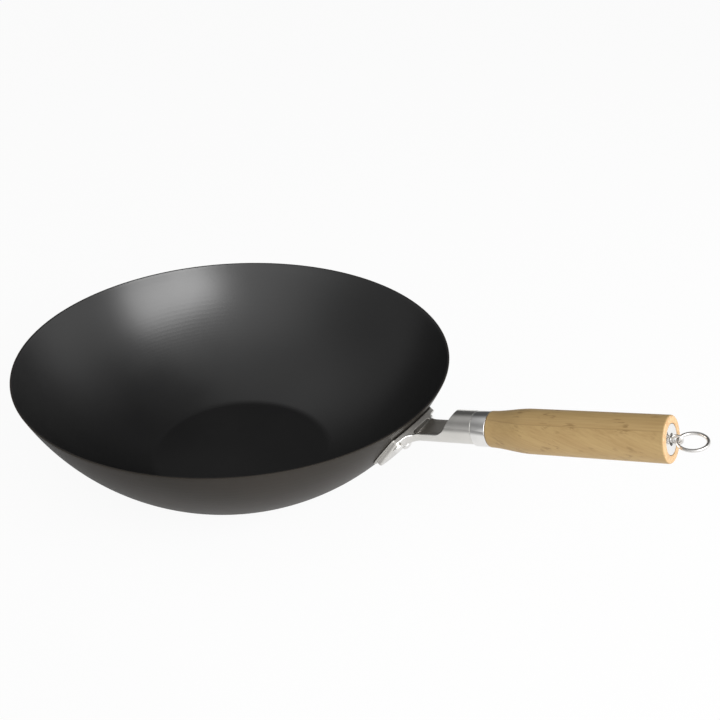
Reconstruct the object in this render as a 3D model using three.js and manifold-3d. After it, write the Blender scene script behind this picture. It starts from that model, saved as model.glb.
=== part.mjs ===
// Flat-bottomed wok with a riveted steel bracket, a turned wooden grip and a hanging ring.
// Millimetres, +Z up. The origin is the middle of the flat base, and the handle points along +X.
import * as THREE from "three";
import { mergeVertices } from "three/addons/utils/BufferGeometryUtils.js";
import Module from "manifold-3d";

const wasm = await Module();
wasm.setup();

// Clearance between pieces that touch on the real object
const fitGap = 0.3;

// Bowl: a flat base, then one wall arc up to a plain cut rim
const rimRadius = 178;
const bowlHeight = 102.4;
const baseRadius = 77.5;
const wallArcRadius = 186;
const baseCornerRadius = 20;
const bowlSheet = 1.5;
const bowlSides = 80;
const wallSteps = 10;
const cornerSteps = 3;

// Handle line: where it crosses the rim radius, and its rise above the horizontal
const handleBelowRim = 9.5;
const handleRise = THREE.MathUtils.degToRad(17.13);

// Bracket: raised seat with a flange on the wall, open trough, tube with a slanted mouth, spigot
const bracketSheet = 2;
const seatHeight = 4.7;
const seatMiddleBelowRim = 24;
const seatTopBelowRim = 6;
const seatTopDroop = 4;
const seatTopGap = 1.1;
const seatTopHalfWidth = 28;
const seatHalfWidth = 29.5;
const seatWideBelowRim = 35;
const seatFootHalfWidth = 23;
const seatFootBelowRim = 41.5;
const seatCornerRadius = 5;
const flangeTopHalfWidth = 32;
const flangeTopBelowRim = 17;
const flangeHalfWidth = 33.7;
const flangeWideFromBelowRim = 29;
const flangeWideToBelowRim = 34;
const flangeFootHalfWidth = 26;
const flangeFootBelowRim = 45;
const tubeRadius = 12.2;
const tubeAboveGripLine = 0.65;
const troughFillet = 8;
const troughEdgeDrop = 1;
const mouthFootAt = 24.2;
const mouthTopAt = 34.6;
const mouthFootRadius = 4;
const neckLength = 50.1;
const crimpLength = 0.6;
const spigotLength = 10;
const tubeSides = 28;
const flareStep = 2.5;

// Rivets: two beside the trough and one below it, each with a shoulder under the raised seat
const rivetShankRadius = 2.5;
const rivetHeadRadius = 4.2;
const rivetShoulderRadius = 3.4;
const rivetHeadHeight = 3;
const rivetInnerHeadHeight = 1.4;
const rivetSideInset = 6;
const rivetTopInset = 8;
const rivetFootInset = 9.5;
const rivetSides = 16;

// Ferrule between the bracket and the grip
const ferruleRadius = 12.85;
const ferruleWall = 1.3;
const ferruleLength = 11.1;
const ferruleEdge = 0.4;

// Grip: tenon, narrow front, belly and slightly drawn-in end
const gripLength = 126.3;
const gripFrontRadius = 12.9;
const gripBellyRadius = 15.55;
const gripEndRadius = 15.35;
const gripBellyAt = 30.7;
const gripEndChamfer = 0.8;
const tenonLength = 11;
const gripSides = 36;
const gripSwellSteps = 8;

// Tie rod with its eye, and what it clamps
const rodRadius = 3;
const rodBoreClearance = 0.4;
const rodOverhang = 2;
const nutAcrossFlats = 10;
const nutHeight = 5;
const lockWasherRadius = 5;
const lockWasherThickness = 1.4;
const lockWasherSplit = THREE.MathUtils.degToRad(14);
const anchorThickness = 2.2;
const thrustRadius = 8;
const thrustThickness = 1.2;
const collarRadius = 5.2;
const collarThickness = 1.4;
const capRadius = 10;
const capHoleRadius = 4;
const capThickness = 1.2;
const capSetback = 0.3;
const capEdge = 0.3;
const eyeNeckRadius = 2.2;
const eyeWireRadius = 0.95;
const eyeStandoff = 3.3;
const rodSides = 20;

// Hanging ring: wire circle that swings in the eye, turned with the eye about the handle line
const ringRadius = 9.1;
const ringWireRadius = 1.1;
const ringEyeClearance = 0.8;
const ringPlay = 0.3;
const ringTilt = THREE.MathUtils.degToRad(6.3);
const eyeRoll = THREE.MathUtils.degToRad(6.4);
const ringSides = 36;
const wireSides = 8;

const materials = {
  blackSteel: { color: 0x2b2b2a, roughness: 0.5, metalness: 0.6 },
  brightSteel: { color: 0xc9c6c0, roughness: 0.28, metalness: 1 },
  polishedSteel: { color: 0xdad9d6, roughness: 0.15, metalness: 1 },
  zincSteel: { color: 0xa9acac, roughness: 0.4, metalness: 1 },
  bamboo: { color: 0xad9163, roughness: 0.55, metalness: 0 },
};

// Solids and meshes

function solidOf(geometry) {
  const bare = new THREE.BufferGeometry();
  bare.setAttribute("position", geometry.getAttribute("position"));
  bare.setIndex(geometry.getIndex());
  const merged = mergeVertices(bare, 1e-3);
  const vertProperties = merged.getAttribute("position").array;
  const triVerts = new Uint32Array(merged.getIndex().array);
  return new wasm.Manifold(new wasm.Mesh({ numProp: 3, vertProperties, triVerts }));
}

function geometryOf(solid) {
  const mesh = solid.getMesh();
  const geometry = new THREE.BufferGeometry();
  geometry.setAttribute("position", new THREE.BufferAttribute(mesh.vertProperties, 3));
  geometry.setIndex(new THREE.BufferAttribute(mesh.triVerts, 1));
  return geometry;
}

function meshOf(name, geometry, material) {
  const mesh = new THREE.Mesh(geometry, new THREE.MeshStandardMaterial(materials[material]));
  mesh.name = name;
  return mesh;
}

// A turned solid round the Z axis from [radius, height] points, outside going up
function turnedUp(points, sides) {
  const profile = points.map(([radius, height]) => new THREE.Vector2(radius, height));
  return new THREE.LatheGeometry(profile, sides).rotateX(Math.PI / 2);
}

// A turned solid round the X axis from [along, radius] points, outside going along +X
function turnedAlong(points, sides) {
  const profile = points.map(([along, radius]) => new THREE.Vector2(radius, along));
  return new THREE.LatheGeometry(profile, sides).rotateZ(-Math.PI / 2);
}

function closed(points) {
  return [...points, points[0]];
}

function ringAlong(from, to, inner, outer, edge, sides) {
  const section = [
    [from, inner],
    [from, outer - edge],
    [from + edge, outer],
    [to - edge, outer],
    [to, outer - edge],
    [to, inner],
  ];
  return turnedAlong(closed(section), sides);
}

// A flat plate with its outline square to the X axis, from one place along it to another
function plateAlong(shape, from, to, curveSegments) {
  const settings = { depth: to - from, bevelEnabled: false, curveSegments };
  const geometry = new THREE.ExtrudeGeometry(shape, settings);
  return geometry.rotateY(Math.PI / 2).translate(from, 0, 0);
}

function roundHole(radius) {
  return new THREE.Path().absarc(0, 0, radius, 0, 2 * Math.PI, true);
}

// A polygon whose corners are rounded, each within half of its shorter side
function roundedShape(corners, radius) {
  const shape = new THREE.Shape();
  corners.forEach((corner, i) => {
    const before = corners[(i + corners.length - 1) % corners.length];
    const after = corners[(i + 1) % corners.length];
    const inReach = Math.min(radius, corner.distanceTo(before) / 2);
    const outReach = Math.min(radius, corner.distanceTo(after) / 2);
    const enter = corner.clone().lerp(before, inReach / corner.distanceTo(before));
    const leave = corner.clone().lerp(after, outReach / corner.distanceTo(after));
    if (i === 0) shape.moveTo(enter.x, enter.y);
    else shape.lineTo(enter.x, enter.y);
    shape.quadraticCurveTo(corner.x, corner.y, leave.x, leave.y);
  });
  shape.closePath();
  return shape;
}

// Bowl profile, in radius and height

const wallChord = new THREE.Vector2(rimRadius - baseRadius, bowlHeight);
const chordOut = new THREE.Vector2(wallChord.y, -wallChord.x).normalize();
const chordToCentre = Math.sqrt(wallArcRadius ** 2 - wallChord.lengthSq() / 4);
const wallCentre = new THREE.Vector2(baseRadius, 0)
  .addScaledVector(wallChord, 0.5)
  .addScaledVector(chordOut, -chordToCentre);
const rimAngle = Math.atan2(bowlHeight - wallCentre.y, rimRadius - wallCentre.x);
const cornerReach = wallArcRadius - baseCornerRadius;
const cornerDrop = wallCentre.y - baseCornerRadius;
const cornerCentre = new THREE.Vector2(
  wallCentre.x + Math.sqrt(cornerReach ** 2 - cornerDrop ** 2),
  baseCornerRadius,
);
const cornerAngle = Math.atan2(-cornerDrop, cornerCentre.x - wallCentre.x);

function arcPoints(centre, radius, from, to, steps) {
  return Array.from({ length: steps + 1 }, (_, i) => {
    const angle = THREE.MathUtils.lerp(from, to, i / steps);
    return [centre.x + radius * Math.cos(angle), centre.y + radius * Math.sin(angle)];
  });
}

// One skin of the bowl from the axis to the rim, set in from the outside
function bowlSkin(inset) {
  const arc = wallArcRadius - inset;
  const rim = Math.asin((bowlHeight - wallCentre.y) / arc);
  const corner = baseCornerRadius - inset;
  const round = arcPoints(cornerCentre, corner, -Math.PI / 2, cornerAngle, cornerSteps);
  const wall = arcPoints(wallCentre, arc, cornerAngle, rim, wallSteps);
  return [[0, inset], ...round, ...wall.slice(1)];
}

function makeBowl(holes) {
  const profile = [...bowlSkin(0), ...bowlSkin(bowlSheet).reverse()];
  let bowl = solidOf(turnedUp(profile, bowlSides));
  for (const hole of holes) bowl = bowl.subtract(hole);
  return meshOf("bowl", geometryOf(bowl), "blackSteel");
}

// Seat on the wall, in distance below the rim along the wall and distance out from it

function wallAngle(belowRim) {
  return rimAngle - belowRim / wallArcRadius;
}

function wallOut(belowRim) {
  return new THREE.Vector2(Math.cos(wallAngle(belowRim)), Math.sin(wallAngle(belowRim)));
}

function wallPoint(belowRim, out) {
  return wallCentre.clone().addScaledVector(wallOut(belowRim), wallArcRadius + out);
}

const seatMargin = 20;
const seatOut = wallOut(seatMiddleBelowRim);
const seatUp = new THREE.Vector2(-seatOut.y, seatOut.x);

// A layer that lies all round the wall, between two distances out from it
function wallLayer(from, to) {
  const low = wallAngle(flangeFootBelowRim + seatMargin);
  const high = rimAngle + seatMargin / wallArcRadius;
  const inner = arcPoints(wallCentre, wallArcRadius + from, low, high, wallSteps);
  const outer = arcPoints(wallCentre, wallArcRadius + to, low, high, wallSteps);
  return solidOf(turnedUp(closed([...outer, ...inner.reverse()]), bowlSides));
}

// A prism square to the seat's middle, from an outline of side and distance below the rim
function seatPrism(outline) {
  const settings = { depth: 2 * seatMargin, bevelEnabled: false, curveSegments: 5 };
  const prism = new THREE.ExtrudeGeometry(outline, settings).translate(0, 0, -seatMargin);
  const sideAxis = new THREE.Vector3(0, 1, 0);
  const upAxis = new THREE.Vector3(seatUp.x, 0, seatUp.y);
  const outAxis = new THREE.Vector3(seatOut.x, 0, seatOut.y);
  const middle = wallPoint(seatMiddleBelowRim, 0).addScaledVector(seatUp, seatMiddleBelowRim);
  const place = new THREE.Matrix4().makeBasis(sideAxis, upAxis, outAxis);
  place.setPosition(middle.x, 0, middle.y);
  return solidOf(prism.applyMatrix4(place));
}

// An outline with its two sides alike, from half widths and distances below the rim, top first
function evenOutline(half, radius) {
  const side = (sign) => half.map(([y, below]) => new THREE.Vector2(sign * y, -below));
  return roundedShape([...side(-1), ...side(1).reverse()], radius);
}

// Everything below the seat's top edge, which droops to its two ends, set in from it
function belowSeatTop(inset) {
  const middle = seatTopBelowRim + inset;
  const ends = middle + seatTopDroop;
  const far = flangeHalfWidth + seatMargin;
  const low = flangeFootBelowRim + seatMargin;
  const shape = new THREE.Shape();
  shape.moveTo(-far, -low);
  shape.lineTo(far, -low);
  shape.lineTo(far, -ends);
  shape.lineTo(seatTopHalfWidth, -ends);
  shape.quadraticCurveTo(0, seatTopDroop - middle, -seatTopHalfWidth, -ends);
  shape.lineTo(-far, -ends);
  shape.closePath();
  return seatPrism(shape);
}

// The seat's outline as a prism, set in all round
function seatBlock(inset) {
  const half = [
    [seatTopHalfWidth - inset, -seatMargin],
    [seatTopHalfWidth - inset, seatTopBelowRim + seatTopDroop],
    [seatHalfWidth - inset, seatWideBelowRim],
    [seatFootHalfWidth - inset / 2, seatFootBelowRim - inset],
  ];
  return seatPrism(evenOutline(half, seatCornerRadius)).intersect(belowSeatTop(inset));
}

// The seat: a shallow tray whose sides reach the wall and whose top lip stays clear of it
function makeSeat() {
  const outside = seatBlock(0);
  const inside = seatBlock(bracketSheet);
  const flangeHalf = [
    [seatTopHalfWidth, seatTopBelowRim + seatTopDroop],
    [flangeTopHalfWidth, flangeTopBelowRim],
    [flangeHalfWidth, flangeWideFromBelowRim],
    [flangeHalfWidth, flangeWideToBelowRim],
    [flangeFootHalfWidth, flangeFootBelowRim],
  ];
  const lipHalf = [
    [seatTopHalfWidth - bracketSheet, -seatMargin],
    [seatTopHalfWidth - bracketSheet, flangeTopBelowRim],
  ];
  const flangeBlock = seatPrism(evenOutline(flangeHalf, seatCornerRadius));
  const lipGap = wallLayer(0, seatTopGap).intersect(seatPrism(evenOutline(lipHalf, bracketSheet)));
  const face = wallLayer(seatHeight - bracketSheet, seatHeight).intersect(outside);
  const skirt = wallLayer(fitGap, seatHeight).intersect(outside).subtract(inside);
  const flange = wallLayer(fitGap, fitGap + bracketSheet).intersect(flangeBlock).subtract(inside);
  return face.add(skirt).add(flange).subtract(lipGap);
}

// Handle frame: +X along the handle, +Y to the side, +Z up from it

const handle = new THREE.Group();
handle.position.set(rimRadius, 0, bowlHeight - handleBelowRim);
handle.rotation.y = -handleRise;
handle.updateMatrix();

// Places along the handle line
const crimpStart = neckLength;
const spigotStart = crimpStart + crimpLength;
const spigotEnd = spigotStart + spigotLength;
const ferruleStart = spigotStart + fitGap;
const ferruleEnd = ferruleStart + ferruleLength;
const gripShoulder = ferruleEnd + fitGap;
const gripEnd = gripShoulder + gripLength;
const tenonFront = gripShoulder - tenonLength;
const anchorBack = crimpStart - fitGap;
const anchorFront = anchorBack - anchorThickness;
const lockWasherFront = anchorFront - fitGap - lockWasherThickness;
const nutBack = lockWasherFront - fitGap;
const nutFront = nutBack - nutHeight;
const rodFront = nutFront - rodOverhang;
const capFace = gripEnd - capSetback;
const capBack = capFace - capThickness;
const collarBack = capBack - fitGap;
const collarFront = collarBack - collarThickness;
const thrustBack = collarFront - fitGap;
const thrustFront = thrustBack - thrustThickness;
const recessFloor = thrustFront - fitGap;
const eyeCentre = gripEnd + eyeStandoff;
const ringPivot = eyeCentre + ringPlay;

// Radii that follow from a neighbour
const spigotRadius = ferruleRadius - ferruleWall - fitGap;
const tenonRadius = spigotRadius - bracketSheet - fitGap;
const anchorRadius = tubeRadius - bracketSheet - fitGap;
const rodHoleRadius = rodRadius + fitGap;
const rodBoreRadius = rodRadius + rodBoreClearance;
const recessRadius = capRadius + fitGap;
const eyeHoleRadius = ringWireRadius + ringEyeClearance;

// How far the trough's side stands out near the seat, as a fillet whose sheet keeps its thickness
function flare(distance, inset) {
  const rest = troughFillet - THREE.MathUtils.clamp(distance, 0, troughFillet);
  return troughFillet + inset - Math.sqrt((troughFillet + inset) ** 2 - rest ** 2);
}

// One skin of the neck and tube as a closed solid, set in from the outside and run past its ends
function neckSkin(inset, overrun) {
  const start = -flangeFootBelowRim - overrun;
  const reach = mouthFootAt - start;
  const count = Math.ceil(reach / flareStep);
  const stations = Array.from({ length: count + 1 }, (_, i) => start + (reach * i) / count);
  stations.push(crimpStart, spigotStart, spigotEnd + overrun);
  const positions = [];
  const indices = [];
  for (const along of stations) {
    const crimped = along >= spigotStart;
    const radius = (crimped ? spigotRadius : tubeRadius) - inset;
    const rise = crimped ? 0 : tubeAboveGripLine;
    for (let i = 0; i < tubeSides; i++) {
      const angle = (2 * Math.PI * i) / tubeSides;
      const point = new THREE.Vector3(along, radius * Math.cos(angle), rise + radius * Math.sin(angle));
      point.applyMatrix4(handle.matrix);
      const fromCentre = Math.hypot(point.x - wallCentre.x, point.z - wallCentre.y);
      point.y += Math.cos(angle) * flare(fromCentre - wallArcRadius - seatHeight, inset);
      positions.push(point.x, point.y, point.z);
    }
  }
  const last = (stations.length - 1) * tubeSides;
  for (let k = 0; k < last; k += tubeSides) {
    for (let i = 0; i < tubeSides; i++) {
      const next = (i + 1) % tubeSides;
      indices.push(k + i, k + next, k + tubeSides + next);
      indices.push(k + i, k + tubeSides + next, k + tubeSides + i);
    }
  }
  for (let i = 1; i < tubeSides - 1; i++) {
    indices.push(0, i + 1, i);
    indices.push(last, last + i, last + i + 1);
  }
  const geometry = new THREE.BufferGeometry();
  geometry.setAttribute("position", new THREE.Float32BufferAttribute(positions, 3));
  geometry.setIndex(indices);
  return solidOf(geometry);
}

// What opens the trough and slants the tube's mouth
function makeMouthCut() {
  const top = tubeAboveGripLine + tubeRadius;
  const foot = new THREE.Vector2(mouthFootAt, -troughEdgeDrop);
  const slope = new THREE.Vector2(mouthTopAt, top).sub(foot).normalize();
  const past = new THREE.Vector2(mouthTopAt, top).addScaledVector(slope, seatMargin);
  const enter = foot.x - mouthFootRadius;
  const leave = foot.clone().addScaledVector(slope, mouthFootRadius);
  const low = -flangeFootBelowRim - seatMargin;
  const shape = new THREE.Shape();
  shape.moveTo(low, foot.y);
  shape.lineTo(enter, foot.y);
  shape.quadraticCurveTo(foot.x, foot.y, leave.x, leave.y);
  shape.lineTo(past.x, past.y);
  shape.lineTo(low, past.y);
  shape.closePath();
  const depth = 4 * (tubeRadius + troughFillet);
  const settings = { depth, bevelEnabled: false, curveSegments: 5 };
  const cut = new THREE.ExtrudeGeometry(shape, settings).translate(0, 0, -depth / 2);
  return solidOf(cut.rotateX(Math.PI / 2).applyMatrix4(handle.matrix));
}

// Everything on the bowl's side of the middle of the seat's sheet
function makeBowlSide() {
  const out = wallArcRadius + seatHeight - bracketSheet / 2;
  const high = rimAngle + seatMargin / wallArcRadius;
  const skin = arcPoints(wallCentre, out, wallAngle(flangeFootBelowRim + 2 * seatMargin), high, wallSteps);
  const profile = [[0, skin[0][1]], ...skin, [0, skin[wallSteps][1]]];
  return solidOf(turnedUp(profile, bowlSides));
}

function makeBracket(holes) {
  let neck = neckSkin(0, 0).subtract(neckSkin(bracketSheet, fitGap));
  neck = neck.subtract(makeMouthCut()).subtract(makeBowlSide());
  let bracket = neck.add(makeSeat());
  for (const hole of holes) bracket = bracket.subtract(hole);
  return meshOf("handle_bracket", geometryOf(bracket), "brightSteel");
}

// Rivets: each stands on the wall, square to it, with its origin on the wall's outside

const rivetSideOffset = seatTopHalfWidth - rivetSideInset;
const rivetSideBelowRim = seatTopBelowRim + seatTopDroop + rivetTopInset;
const rivetPlaces = {
  rivet_near: { side: -rivetSideOffset, belowRim: rivetSideBelowRim },
  rivet_far: { side: rivetSideOffset, belowRim: rivetSideBelowRim },
  rivet_lower: { side: 0, belowRim: seatFootBelowRim - rivetFootInset },
};

function placeRivet(object, { side, belowRim }) {
  const on = wallPoint(belowRim, 0);
  const round = Math.asin(side / on.x);
  object.rotation.set(0, -wallAngle(belowRim), round, "ZYX");
  object.position.set(on.x * Math.cos(round), side, on.y);
  object.updateMatrix();
  return object;
}

function makeRivet(name, place) {
  const innerSeat = -bowlSheet - fitGap;
  const innerTop = innerSeat - rivetInnerHeadHeight;
  const shoulderTop = seatHeight - bracketSheet - fitGap;
  const outerSeat = seatHeight + fitGap;
  const outerTop = outerSeat + rivetHeadHeight;
  const dome = [0.35, 0.7, 1].map((share) => [
    outerTop - rivetHeadHeight * (1 - Math.cos((share * Math.PI) / 2)),
    rivetHeadRadius * Math.sin((share * Math.PI) / 2),
  ]);
  const profile = [
    [innerTop, 0],
    [innerTop, rivetHeadRadius * 0.7],
    [innerSeat, rivetHeadRadius],
    [innerSeat, rivetShankRadius],
    [fitGap, rivetShankRadius],
    [fitGap, rivetShoulderRadius],
    [shoulderTop, rivetShoulderRadius],
    [shoulderTop, rivetShankRadius],
    [outerSeat, rivetShankRadius],
    ...dome.reverse(),
    [outerTop, 0],
  ];
  return placeRivet(meshOf(name, turnedAlong(profile, rivetSides), "polishedSteel"), place);
}

function makeRivetHole(place) {
  const radius = rivetShankRadius + fitGap;
  const profile = [
    [-seatMargin, 0],
    [-seatMargin, radius],
    [seatMargin, radius],
    [seatMargin, 0],
  ];
  const cutter = placeRivet(new THREE.Object3D(), place);
  return solidOf(turnedAlong(profile, rivetSides).applyMatrix4(cutter.matrix));
}

// Handle pieces, in the handle frame

function makeFerrule() {
  const inner = ferruleRadius - ferruleWall;
  const ring = ringAlong(ferruleStart, ferruleEnd, inner, ferruleRadius, ferruleEdge, gripSides);
  return meshOf("ferrule", ring, "polishedSteel");
}

function makeGrip() {
  const swell = Array.from({ length: gripSwellSteps + 1 }, (_, i) => {
    const share = i / gripSwellSteps;
    const eased = THREE.MathUtils.smoothstep(share, 0, 1);
    const radius = THREE.MathUtils.lerp(gripFrontRadius, gripBellyRadius, eased);
    return [gripShoulder + gripBellyAt * share, radius];
  });
  const section = [
    [tenonFront, rodBoreRadius],
    [tenonFront, tenonRadius],
    [gripShoulder, tenonRadius],
    ...swell,
    [gripEnd - gripEndChamfer, gripEndRadius],
    [gripEnd, gripEndRadius - gripEndChamfer],
    [gripEnd, recessRadius],
    [recessFloor, recessRadius],
    [recessFloor, rodBoreRadius],
  ];
  return meshOf("grip", turnedAlong(closed(section), gripSides), "bamboo");
}

function makeAnchorDisc() {
  const shape = new THREE.Shape().absarc(-tubeAboveGripLine, 0, anchorRadius, 0, 2 * Math.PI);
  shape.holes.push(roundHole(rodHoleRadius));
  return meshOf("anchor_disc", plateAlong(shape, anchorFront, anchorBack, 12), "zincSteel");
}

function makeLockWasher() {
  const shape = new THREE.Shape();
  shape.absarc(0, 0, lockWasherRadius, lockWasherSplit / 2, 2 * Math.PI - lockWasherSplit / 2, false);
  shape.absarc(0, 0, rodHoleRadius, 2 * Math.PI - lockWasherSplit / 2, lockWasherSplit / 2, true);
  shape.closePath();
  const front = lockWasherFront;
  return meshOf("lock_washer", plateAlong(shape, front, front + lockWasherThickness, 12), "zincSteel");
}

function makeNut() {
  const cornerRadius = nutAcrossFlats / Math.sqrt(3);
  const corners = Array.from({ length: 6 }, (_, i) => {
    const angle = (i * Math.PI) / 3;
    return new THREE.Vector2(cornerRadius * Math.cos(angle), cornerRadius * Math.sin(angle));
  });
  const shape = new THREE.Shape(corners);
  shape.holes.push(roundHole(rodHoleRadius));
  return meshOf("rod_nut", plateAlong(shape, nutFront, nutBack, 10), "zincSteel");
}

function makeThrustWasher() {
  const ring = ringAlong(thrustFront, thrustBack, rodHoleRadius, thrustRadius, capEdge, rodSides);
  return meshOf("thrust_washer", ring, "zincSteel");
}

function makeEndCap() {
  const disc = ringAlong(capBack, capFace, capHoleRadius, capRadius, capEdge, gripSides);
  return meshOf("end_cap", disc, "polishedSteel");
}

function makeEyeBolt() {
  const eyeRadius = eyeHoleRadius + eyeWireRadius;
  const shank = [
    [rodFront, 0],
    [rodFront, rodRadius],
    [collarFront, rodRadius],
    [collarFront, collarRadius],
    [collarBack, collarRadius],
    [collarBack, eyeNeckRadius],
    [eyeCentre - eyeRadius, eyeNeckRadius],
    [eyeCentre - eyeRadius, 0],
  ];
  const eye = new THREE.TorusGeometry(eyeRadius, eyeWireRadius, wireSides, rodSides);
  eye.rotateX(Math.PI / 2 + eyeRoll).translate(eyeCentre, 0, 0);
  const bolt = solidOf(turnedAlong(shank, rodSides)).add(solidOf(eye));
  return meshOf("eye_bolt", geometryOf(bolt), "polishedSteel");
}

// The ring turns about the side axis of its group, which passes through the eye
function makeRing() {
  const hinge = new THREE.Group();
  hinge.position.set(ringPivot, 0, 0);
  hinge.rotation.x = eyeRoll;
  const wire = new THREE.TorusGeometry(ringRadius, ringWireRadius, wireSides, ringSides);
  const ring = meshOf("hanging_ring", wire.translate(ringRadius, 0, 0), "polishedSteel");
  ring.rotation.y = ringTilt;
  hinge.add(ring);
  return hinge;
}

const rivetHoles = Object.values(rivetPlaces).map(makeRivetHole);

const wok = new THREE.Group();
wok.add(makeBowl(rivetHoles));
wok.add(makeBracket(rivetHoles));
for (const [name, place] of Object.entries(rivetPlaces)) wok.add(makeRivet(name, place));
handle.add(makeFerrule());
handle.add(makeGrip());
handle.add(makeAnchorDisc());
handle.add(makeLockWasher());
handle.add(makeNut());
handle.add(makeThrustWasher());
handle.add(makeEndCap());
handle.add(makeEyeBolt());
handle.add(makeRing());
wok.add(handle);

export default wok;
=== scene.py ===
import math
import bmesh
import bpy
import numpy as np
from mathutils import Matrix, Vector


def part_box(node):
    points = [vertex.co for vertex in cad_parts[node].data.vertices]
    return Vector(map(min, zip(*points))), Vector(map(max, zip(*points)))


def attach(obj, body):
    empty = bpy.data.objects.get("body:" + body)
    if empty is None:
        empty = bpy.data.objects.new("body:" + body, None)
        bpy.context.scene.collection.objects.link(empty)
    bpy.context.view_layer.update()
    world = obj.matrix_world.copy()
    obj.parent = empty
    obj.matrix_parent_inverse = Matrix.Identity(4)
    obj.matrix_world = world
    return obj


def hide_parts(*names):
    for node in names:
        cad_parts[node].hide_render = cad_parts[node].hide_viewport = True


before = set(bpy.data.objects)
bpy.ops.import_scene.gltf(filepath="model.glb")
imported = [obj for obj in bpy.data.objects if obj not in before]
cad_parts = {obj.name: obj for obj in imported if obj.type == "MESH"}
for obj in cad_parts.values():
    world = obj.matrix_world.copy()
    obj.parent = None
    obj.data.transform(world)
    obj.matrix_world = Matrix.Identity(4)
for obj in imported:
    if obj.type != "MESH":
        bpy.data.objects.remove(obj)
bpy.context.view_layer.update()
mm = 0.001


def linear(hexColour):
    parts = [int(hexColour[i:i + 2], 16) / 255 for i in (1, 3, 5)]
    return tuple(c / 12.92 if c <= 0.04045 else ((c + 0.055) / 1.055) ** 2.4 for c in parts) + (1.0,)


def addNode(tree, kind, inputs=None, **settings):
    node = tree.nodes.new(kind)
    for key, value in settings.items():
        setattr(node, key, value)
    for key, value in (inputs or {}).items():
        if isinstance(value, bpy.types.NodeSocket):
            tree.links.new(value, node.inputs[key])
        else:
            node.inputs[key].default_value = value
    return node


def newMaterial(name):
    material = bpy.data.materials.new(name)
    material.use_nodes = True
    tree = material.node_tree
    return material, tree, tree.nodes["Principled BSDF"]


def colourRamp(tree, value, stops):
    ramp = addNode(tree, "ShaderNodeValToRGB", {"Fac": value})
    while len(ramp.color_ramp.elements) < len(stops):
        ramp.color_ramp.elements.new(0.5)
    for element, (at, colour) in zip(ramp.color_ramp.elements, stops):
        element.position = at
        element.color = linear(colour) if isinstance(colour, str) else (colour, colour, colour, 1.0)
    return ramp.outputs["Color"]


def mixColour(tree, factor, a, b):
    mix = addNode(tree, "ShaderNodeMix", {"Factor": factor, "A": a, "B": b}, data_type="RGBA")
    return mix.outputs["Result"]


def mapRange(tree, value, low, high, toLow, toHigh):
    return addNode(tree, "ShaderNodeMapRange", {"Value": value, "From Min": low, "From Max": high,
                   "To Min": toLow, "To Max": toHigh}).outputs["Result"]


def calc(tree, operation, a, b=0.0):
    return addNode(tree, "ShaderNodeMath", {0: a, 1: b}, operation=operation).outputs["Value"]


# Geometry Nodes: a profile of points turned round the Z axis
def turningTree():
    tree = bpy.data.node_groups.new("turnedProfile", "GeometryNodeTree")
    tree.interface.new_socket("Profile", in_out="INPUT", socket_type="NodeSocketGeometry")
    tree.interface.new_socket("Sides", in_out="INPUT", socket_type="NodeSocketInt")
    tree.interface.new_socket("Material", in_out="INPUT", socket_type="NodeSocketMaterial")
    tree.interface.new_socket("Turned", in_out="OUTPUT", socket_type="NodeSocketGeometry")
    given = addNode(tree, "NodeGroupInput").outputs
    size = addNode(tree, "GeometryNodeAttributeDomainSize", {"Geometry": given["Profile"]})
    count = size.outputs["Point Count"]
    sheet = addNode(tree, "GeometryNodeMeshGrid", {"Size X": 1.0, "Size Y": 1.0, "Vertices X": count,
                    "Vertices Y": calc(tree, "ADD", given["Sides"], 1.0)})
    share = addNode(tree, "ShaderNodeSeparateXYZ", {"Vector": sheet.outputs["UV Map"]})
    which = calc(tree, "MULTIPLY", share.outputs["X"], calc(tree, "SUBTRACT", count, 1.0))
    nearest = calc(tree, "ROUND", which)
    position = addNode(tree, "GeometryNodeInputPosition").outputs["Position"]
    point = addNode(tree, "GeometryNodeSampleIndex", {"Geometry": given["Profile"], "Value": position,
                    "Index": nearest}, data_type="FLOAT_VECTOR", domain="POINT")
    flag = addNode(tree, "GeometryNodeInputNamedAttribute", {"Name": "inside"}, data_type="FLOAT")
    skin = addNode(tree, "GeometryNodeSampleIndex", {"Geometry": given["Profile"],
                   "Value": flag.outputs["Attribute"], "Index": nearest}, data_type="FLOAT", domain="POINT")
    place = addNode(tree, "ShaderNodeSeparateXYZ", {"Vector": point.outputs["Value"]})
    angle = calc(tree, "MULTIPLY", share.outputs["Y"], 2 * math.pi)
    spot = addNode(tree, "ShaderNodeCombineXYZ", {
        "X": calc(tree, "MULTIPLY", place.outputs["X"], calc(tree, "COSINE", angle)),
        "Y": calc(tree, "MULTIPLY", place.outputs["X"], calc(tree, "SINE", angle)), "Z": place.outputs["Z"]})
    moved = addNode(tree, "GeometryNodeSetPosition", {"Geometry": sheet.outputs["Mesh"],
                    "Position": spot.outputs["Vector"]})
    kept = addNode(tree, "GeometryNodeStoreNamedAttribute", {"Geometry": moved.outputs["Geometry"],
                   "Name": "inside", "Value": skin.outputs["Value"]}, data_type="FLOAT", domain="POINT")
    joined = addNode(tree, "GeometryNodeMergeByDistance", {"Geometry": kept.outputs["Geometry"],
                     "Distance": 0.00001})
    soft = addNode(tree, "GeometryNodeSetShadeSmooth", {"Geometry": joined.outputs["Geometry"]})
    real = addNode(tree, "GeometryNodeRealizeInstances", {"Geometry": soft.outputs["Geometry"]})
    done = addNode(tree, "GeometryNodeSetMaterial", {"Geometry": real.outputs["Geometry"],
                   "Material": given["Material"]})
    addNode(tree, "NodeGroupOutput", {"Turned": done.outputs["Geometry"]})
    return tree


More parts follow.
